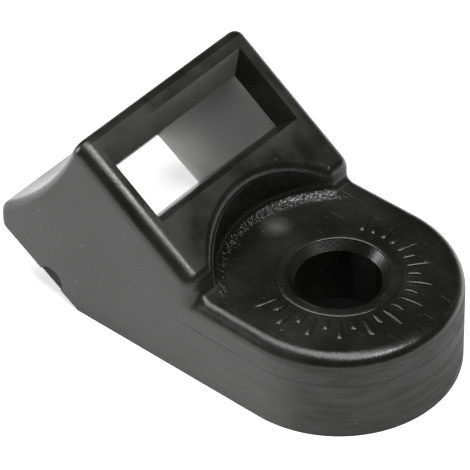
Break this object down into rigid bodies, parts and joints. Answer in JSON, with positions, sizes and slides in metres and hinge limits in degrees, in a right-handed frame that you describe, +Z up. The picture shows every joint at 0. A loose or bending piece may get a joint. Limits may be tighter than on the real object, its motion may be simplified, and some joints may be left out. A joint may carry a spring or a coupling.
{
  "type": "screw-down strap mount",
  "caption": "Round-nosed moulded pad with a screw hole and a sloping wedge whose wide slanted slot takes a tie strap, with a concave saddle at the back for a bundle.",
  "frame": {"origin": "on the base plane, midway between the nose and the tip and midway between the sides", "axes": "+X towards the pad's round nose, +Z up from the surface it is screwed to, along the screw hole, +Y to the right as seen from the nose"},
  "size_m": [0.0358, 0.019, 0.0169],
  "materials": {
    "black_nylon": "fine satin moulded grain"
  },
  "bodies": {
    "root": {"mounting_pad": "black_nylon", "base_skirt": "black_nylon", "left_cheek": "black_nylon", "right_cheek": "black_nylon", "front_web": "black_nylon", "heel_wall": "black_nylon", "crest_bar": "black_nylon", "saddle_wall": "black_nylon", "tip_bar": "black_nylon", "seat_ring": "black_nylon", "long_marks": "black_nylon", "short_marks": "black_nylon"}
  },
  "joints": []
}
